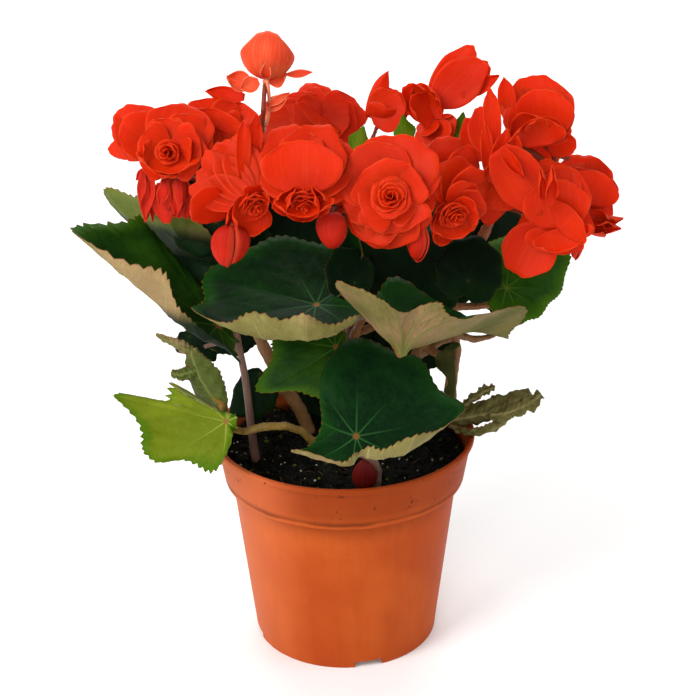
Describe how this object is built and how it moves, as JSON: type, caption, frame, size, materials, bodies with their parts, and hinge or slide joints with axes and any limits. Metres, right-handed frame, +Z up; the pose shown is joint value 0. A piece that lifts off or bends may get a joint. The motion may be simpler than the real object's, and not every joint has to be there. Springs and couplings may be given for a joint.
{
  "type": "potted begonia",
  "caption": "Flowering begonia house plant with broad dark leaves and double red blooms on branching stems, growing in a thin tapered plastic nursery pot filled with dark potting mix.",
  "frame": {"origin": "middle of the pot's foot, on the surface it stands on", "axes": "+Z up; the plant's show side faces -Y; +X is to the right seen from the show side"},
  "size_m": [0.2328, 0.2021, 0.2867],
  "materials": {
    "pot": "satin",
    "potting_mix": "matte",
    "stem": "satin",
    "leaf": "satin",
    "pale_leaf": "satin",
    "dried_leaf": "matte",
    "petal": "satin",
    "bud": "satin",
    "shed_petal": "matte"
  },
  "bodies": {
    "root": {"pot": "pot", "potting_mix": "potting_mix", "stem_back": "stem", "stem_center": "stem", "stem_left": "stem", "stem_right": "stem", "petiole_front": "stem", "petiole_left": "stem", "petiole_low": "stem", "leaf_back_center": "leaf", "leaf_back_left": "leaf", "leaf_back_low": "leaf", "leaf_back_right": "leaf", "leaf_back_side": "leaf", "leaf_center": "leaf", "leaf_dried": "dried_leaf", "leaf_fold": "leaf", "leaf_front_cup": "leaf", "leaf_front_low": "leaf", "leaf_left_back": "leaf", "leaf_left_curl": "pale_leaf", "leaf_left_low": "pale_leaf", "leaf_left_mid": "leaf", "leaf_left_small": "leaf", "leaf_left_upper": "leaf", "leaf_left_wing": "leaf", "leaf_low_small": "leaf", "leaf_right": "leaf", "leaf_right_small": "leaf", "leaf_right_upper": "leaf", "cup_center": "petal", "cup_right": "petal", "cup_top_center": "petal", "cup_top_left": "petal", "cup_top_middle": "petal", "cup_top_right": "petal", "rose_back_far_left": "petal", "rose_back_far_right": "petal", "rose_back_left": "petal", "rose_back_right": "petal", "rose_back_top": "petal", "rose_center_left": "petal", "rose_front": "petal", "rose_front_right": "petal", "rose_left": "petal", "rose_left_back": "petal", "rose_left_front": "petal", "rose_left_tip": "petal", "rose_right_low": "petal", "rose_right_side": "petal", "rose_right_top": "petal", "rose_top_back": "petal", "bud_center": "bud", "bud_front": "bud", "bud_left_long": "bud", "bud_left_open": "bud", "bud_left_pair": "bud", "bud_right_end": "bud", "bud_right_top": "bud", "shed_petal": "shed_petal"}
  },
  "joints": []
}
